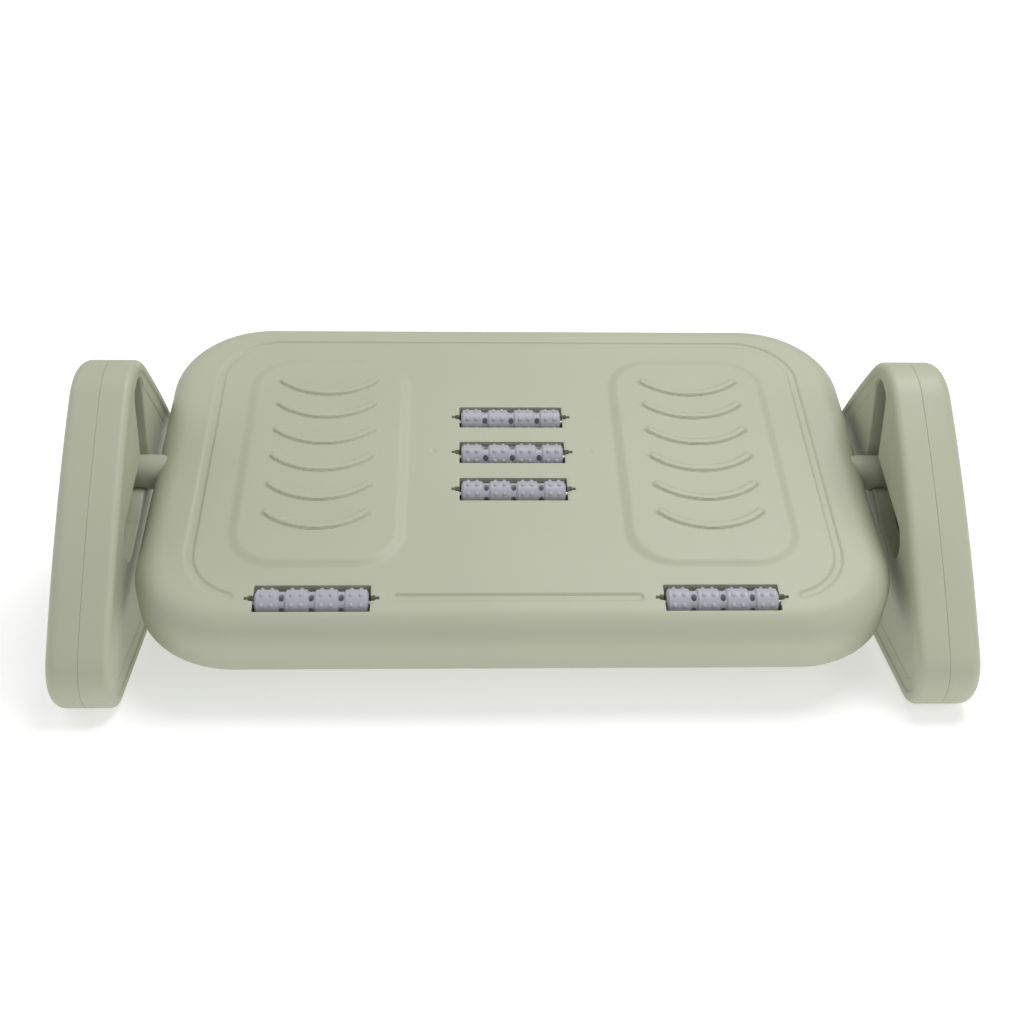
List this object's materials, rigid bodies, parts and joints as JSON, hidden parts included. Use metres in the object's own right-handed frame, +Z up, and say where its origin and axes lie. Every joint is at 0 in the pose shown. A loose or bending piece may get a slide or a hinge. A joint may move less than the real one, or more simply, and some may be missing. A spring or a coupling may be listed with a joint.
{
  "type": "tilting footrest",
  "caption": "Under-desk tilting footrest: rounded platform with massage rollers and ribbed foot pads, carried by two side legs with guide slots for height and angle.",
  "frame": {"origin": "on the floor, under the middle of the whole footrest", "axes": "+X across the footrest to the user's right, -Y towards the user (the low, heel edge of the platform), +Z up"},
  "size_m": [0.527, 0.2882, 0.164],
  "materials": {
    "sage_plastic": "fine-grained moulded plastic, sage green, semi-matte",
    "sage_plastic_hidden": "plain moulded plastic, sage green, matte",
    "roller_plastic": "smooth moulded plastic, lavender grey",
    "steel": "zinc-plated steel",
    "rubber": "matt anti-slip rubber"
  },
  "bodies": {
    "legs": {"foot_pad_front_left": "rubber", "foot_pad_front_right": "rubber", "foot_pad_rear_left": "rubber", "foot_pad_rear_right": "rubber", "leg_inner_shell_left": "sage_plastic", "leg_inner_shell_right": "sage_plastic", "leg_outer_shell_left": "sage_plastic", "leg_outer_shell_right": "sage_plastic", "leg_screw_left_1": "steel", "leg_screw_left_2": "steel", "leg_screw_left_3": "steel", "leg_screw_right_1": "steel", "leg_screw_right_2": "steel", "leg_screw_right_3": "steel"},
    "pegs": {"peg_cap_left": "sage_plastic_hidden", "peg_cap_right": "sage_plastic_hidden", "peg_cap_screw_left": "steel", "peg_cap_screw_right": "steel", "pivot_peg_left": "sage_plastic", "pivot_peg_right": "sage_plastic"},
    "platform": {"deck_bottom_cover": "sage_plastic_hidden", "deck_screw_1": "steel", "deck_screw_2": "steel", "deck_screw_3": "steel", "deck_screw_4": "steel", "deck_screw_5": "steel", "deck_screw_6": "steel", "deck_screw_7": "steel", "deck_screw_8": "steel", "deck_top_shell": "sage_plastic", "roller_axle_centre_far": "steel", "roller_axle_centre_middle": "steel", "roller_axle_centre_near": "steel", "roller_axle_front_left": "steel", "roller_axle_front_right": "steel"},
    "roller_centre_far": {"roller_centre_far": "roller_plastic"},
    "roller_centre_middle": {"roller_centre_middle": "roller_plastic"},
    "roller_centre_near": {"roller_centre_near": "roller_plastic"},
    "roller_front_left": {"roller_front_left": "roller_plastic"},
    "roller_front_right": {"roller_front_right": "roller_plastic"}
  },
  "joints": [
    {"name": "platform_lift", "type": "slide", "parent": "legs", "child": "pegs", "axis": [0, 0, 1], "range_m": [0, 0.048]},
    {"name": "platform_tilt", "type": "hinge", "parent": "pegs", "child": "platform", "pos_m": [0, 0.0038, 0.09], "axis": [1, 0, 0], "range_deg": [-46, 11]},
    {"name": "roller_centre_far_spin", "type": "hinge", "parent": "platform", "child": "roller_centre_far", "pos_m": [0, 0.03677, 0.11015], "axis": [1, 0, 0], "continuous": true},
    {"name": "roller_centre_middle_spin", "type": "hinge", "parent": "platform", "child": "roller_centre_middle", "pos_m": [0, 0.00434, 0.09992], "axis": [1, 0, 0], "continuous": true},
    {"name": "roller_centre_near_spin", "type": "hinge", "parent": "platform", "child": "roller_centre_near", "pos_m": [0, -0.02808, 0.0897], "axis": [1, 0, 0], "continuous": true},
    {"name": "roller_front_left_spin", "type": "hinge", "parent": "platform", "child": "roller_front_left", "pos_m": [-0.1162, -0.1144, 0.06248], "axis": [1, 0, 0], "continuous": true},
    {"name": "roller_front_right_spin", "type": "hinge", "parent": "platform", "child": "roller_front_right", "pos_m": [0.1162, -0.1144, 0.06248], "axis": [1, 0, 0], "continuous": true}
  ]
}
